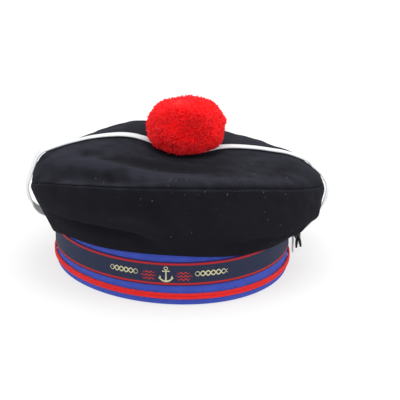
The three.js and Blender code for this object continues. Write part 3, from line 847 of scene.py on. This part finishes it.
pompom = {"x": 9.9, "y": -4.0, "width": 59.0, "height": 37.6, "floor": 86.6, "waist": 0.43,
          "ends": 9000, "plies": 3, "thick": 0.36, "long": 4.6, "uneven": 0.3, "skirt": 0.9,
          "upper": (0.75, 0.9), "lower": (0.6, 0.72),
          # painted shade: the deep colours tint the yarn roots darker, as shade falls inside the pompom
          "deep": ((0.82, 0.002, 0.003), (0.93, 0.004, 0.006)),
          "bright": ((0.9, 0.006, 0.009), (0.98, 0.03, 0.036))}
pompomDents = [  # place from the pompom's foot, depth and half-width
    ((-16, -22, 9), 2.4, 4.0), ((-20, -14, 13), 1.6, 3.5), ((-7, -5, 37), 1.6, 9.0),
    ((-9, -26, 7), 1.5, 3.5),
]


def pompomSurface(rise, turn):  # rise from -90 to 90 degrees, turn round the middle
    half, waist = pompom["width"] / 2, pompom["height"] * pompom["waist"]
    upper = rise > 0
    wide, tall = zip(pompom["upper"], pompom["lower"])
    reach = half * np.cos(rise) ** np.where(upper, *wide)
    up = np.abs(np.sin(rise)) ** np.where(upper, *tall) * np.sign(rise)
    height = waist + np.where(upper, pompom["height"] - waist, waist) * up
    return np.stack([reach * np.sin(turn), -reach * np.cos(turn), height], 1)


def makePompom(material):
    rng = np.random.default_rng(11)
    waist = pompom["height"] * pompom["waist"]
    base = np.array([pompom["x"], pompom["y"], pompom["floor"]])
    heart = np.array([0, 0, waist * 0.95])

    # the wound heart that the yarn ends grow from
    turns, levels = 64, 34
    rise = np.radians(np.linspace(-84, 88, levels))
    around = np.arange(turns) * 2 * math.pi / turns
    shell = pompomSurface(np.tile(rise, turns), np.repeat(around, levels))
    shell = heart + (shell - heart) * (0.9 + 0.015 * softNoise(shell, 6, 4)[:, None])
    faces, _ = gridFaces(turns, levels, True, False)
    faces += [[turn * levels for turn in range(turns)], [turn * levels + levels - 1 for turn in range(turns)]]
    uv = np.zeros((sum(len(face) for face in faces), 2))
    # the heart takes the yarn's painted root shade
    uv[:, 0], uv[:, 1] = 0.1, 0.3
    makePiece("pompomHeart", shell + base, faces, material, ["pompom"], uv)

    # yarn ends, each of a few plies that part at the tip
    rise = np.radians(rng.uniform(-78, 90, pompom["ends"] * 4))
    keep = rng.uniform(size=len(rise)) < np.cos(rise) ** 0.9 + 0.02
    rise = rise[keep][:pompom["ends"]]
    turn = rng.uniform(0, 2 * math.pi, len(rise))
    skin = pompomSurface(rise, turn)
    way = unit(skin - heart)
    length = rng.normal(0, pompom["uneven"], len(rise)).clip(-1.2, 0.8)
    length += 0.7 * softNoise(skin, 17, 21) + 0.3 * softNoise(skin, 6, 22) - 1.5
    for dent, deep, wide in pompomDents:
        length -= deep * np.exp(-np.sum((skin - np.array(dent)) ** 2, 1) / wide ** 2)
    length += pompom["skirt"] * smoothStep(-rise, 0.45, 0.8)  # the lowest ends lie over the strap
    ends = np.repeat(np.arange(len(rise)), pompom["plies"])
    aside = unit(np.cross(way, rng.normal(size=way.shape)))
    other = np.cross(way, aside)
    spin = np.tile(np.arange(pompom["plies"]), len(rise)) * 2 * math.pi / pompom["plies"]
    offset = aside[ends] * np.cos(spin)[:, None] + other[ends] * np.sin(spin)[:, None]
    lean = rng.normal(0, 0.1, (len(ends), 3))
    tipLength = length[ends] + rng.normal(0, 0.25, len(ends))
    stops = [(-pompom["long"], 0.2, 0.8), (-2.2, 0.34, 1.0), (-0.5, 0.46, 1.0), (0.0, 0.5, 0.7)]
    sides = 3
    rings = []
    for down, part, size in stops:
        middle = skin[ends] + way[ends] * (down + tipLength)[:, None] + offset * part
        middle = middle + lean * (down + pompom["long"])
        for corner in range(sides):
            angle = spin + corner * 2 * math.pi / sides
            rim = aside[ends] * np.cos(angle)[:, None] + other[ends] * np.sin(angle)[:, None]
            rings.append(middle + rim * pompom["thick"] * size)
    tip = skin[ends] + way[ends] * (tipLength + 0.28)[:, None] + offset * 0.5 + lean * pompom["long"]
    strands = np.stack([*rings, tip], 1)
    each = strands.shape[1]
    pattern = []
    for ring in range(len(stops) - 1):
        for corner in range(sides):
            a, b = ring * sides + corner, ring * sides + (corner + 1) % sides
            pattern.append([a, b, b + sides, a + sides])
    last = (len(stops) - 1) * sides
    pattern.append([2, 1, 0])
    pattern += [[last + corner, last + (corner + 1) % sides, each - 1] for corner in range(sides)]
    shareUp = np.array([0.0, 0.5, 0.85, 0.95])[np.arange(each - 1) // sides].tolist() + [1.0]
    parts = 3
    tone = rng.uniform(0, 1, len(ends)) * 0.5 + np.repeat(rng.uniform(0, 1, len(rise)),
                                                        pompom["plies"]) * 0.5
    for part in range(parts):
        own = np.arange(part, len(ends), parts)
        faces = []
        for index in range(len(own)):
            first = index * each
            faces += [[first + corner for corner in face] for face in pattern]
        corners = [corner for face in pattern for corner in face]
        uv = np.stack([np.tile(np.array(shareUp)[corners], len(own)),
                       np.repeat(tone[own], len(corners))], 1)
        makePiece(f"pompomYarn{part + 1}", strands[own].reshape(-1, 3) + base, faces, material,
                  (), uv)


# painted shade: the bow is coloured near black, darker than the navy band ribbon it is made of, as it stands
# in shade
bow = {"at": 91.0, "height": 15.5, "off": 9.0, "long": 15.0, "tall": 10.0, "thick": 4.6,
       "knot": 5.6, "knotDeep": 2.3, "root": 0.14, "gap": 0.3, "cloth": 1.5,
       "color": (0.012, 0.012, 0.014), "shade": (0.004, 0.004, 0.005)}


def bowPlace(u, v, w):
    out, along = spot(bow["at"], 1.0, 0.0), spot(bow["at"] - 90, 1.0, 0.0)
    origin = spot(bow["at"], bandReach(bow["at"], bow["off"]), bow["height"])
    u, v, w = np.broadcast_arrays(u, v, w)
    return origin + u[..., None] * along + v[..., None] * np.array([0, 0, 1.0]) + w[..., None] * out


def makeBow(material):
    # each loop is folded over along its top, so that its two sides hang open below
    for name, sign in (("bowLoopFront", 1), ("bowLoopBack", -1)):
        rows = []
        for t in np.linspace(0, 1, 22):
            grown = 0.36 + 0.64 * smoothStep(t, 0.0, 0.6)
            tall = bow["tall"] / 2 * grown * (1 - 0.1 * max(0.0, t - 0.85) / 0.15)
            wide = bow["thick"] / 2 * (0.5 + 0.5 * grown)
            outline = []
            for share in np.linspace(-1, 1, 17):  # from one hanging edge over the top to the other
                angle = share * math.pi / 2
                hang = -1.0 if share < 0 else -0.82
                up = 1 - (1 - hang) * abs(share) ** 1.7
                apart = math.sin(angle) * (0.8 + 0.2 * abs(share)) * (1 + 0.06 * math.sin(9 * t + share))
                outline.append((apart * wide, up * tall))
            outline = np.array(outline)
            way = unit(np.gradient(outline, axis=0))
            inner = outline + np.stack([way[:, 1], -way[:, 0]], 1) * bow["cloth"]
            section = np.vstack([outline, inner[::-1]])
            u = sign * bow["long"] * (bow["root"] + (1 - bow["root"]) * t)
            rows.append(bowPlace(np.full(len(section), u), section[:, 1], section[:, 0]))
        rows = np.array(rows)
        makePiece(name, rows.reshape(-1, 3), barFaces(*rows.shape[:2]), material,
                  ["bow_loop_front" if sign > 0 else "bow_loop_back"])
    # the knot is a pleated wrap round the loops' roots
    half, up = bow["long"] * bow["root"] - bow["gap"], bow["knot"] / 2
    around, levels = 28, 13
    rows = []
    for level in np.linspace(-1, 1, levels):
        bulge = 1 - 0.3 * abs(level) ** 2.5
        angle = np.arange(around) * 2 * math.pi / around
        pleat = 1 + 0.06 * np.sin(angle * 7 + level * 1.5)
        u = half * np.cos(angle) * bulge * pleat
        w = bow["knotDeep"] * np.sin(angle) * bulge * pleat + 0.1
        rows.append(bowPlace(u, level * up, w)[None])
    rows = np.concatenate(rows, 0)
    makePiece("bowKnot", rows.reshape(-1, 3), barFaces(levels, around), material,
              ["bow_knot"])


setView()
setLights()
setFloor()
print("camera, lights and floor are set")
wool = woolCloth()
makeCrownTop(wool)
makeCrownSide(wool)
makeLint(plaitedThread("paleLint", lint["color"], lint["shade"], sheen=0.0))
print("crown is made")
makeBand(knitCloth())
hatRibbon, wide, long = makeRibbon(ribbonCloth())
stitches = makeStitching(
    plaitedThread("goldThread", stitching["gold"], stitching["goldShade"], 2600, 0.1, 0.55),
    plaitedThread("redThread", stitching["red"], stitching["redShade"], 2600, 0.1, 0.6))
makeBraid(plaitedThread("redBraid", braid["color"], braid["shade"], tint=(1.0, 0.5, 0.45)))
print("band, ribbon and braid are made")
makeStrap(plaitedThread("whiteBraid", strap["color"], strap["shade"], depth=0.1,
                        paintedGlow=strap["paintedGlow"]))
print("strap is made")
makePompom(yarn())
print("pompom is made")
# painted shade: the bow's navy ribbon is coloured near black
makeBow(plaitedThread("shadedBowRibbon", bow["color"], bow["shade"], rough=0.5))
print("bow is made")
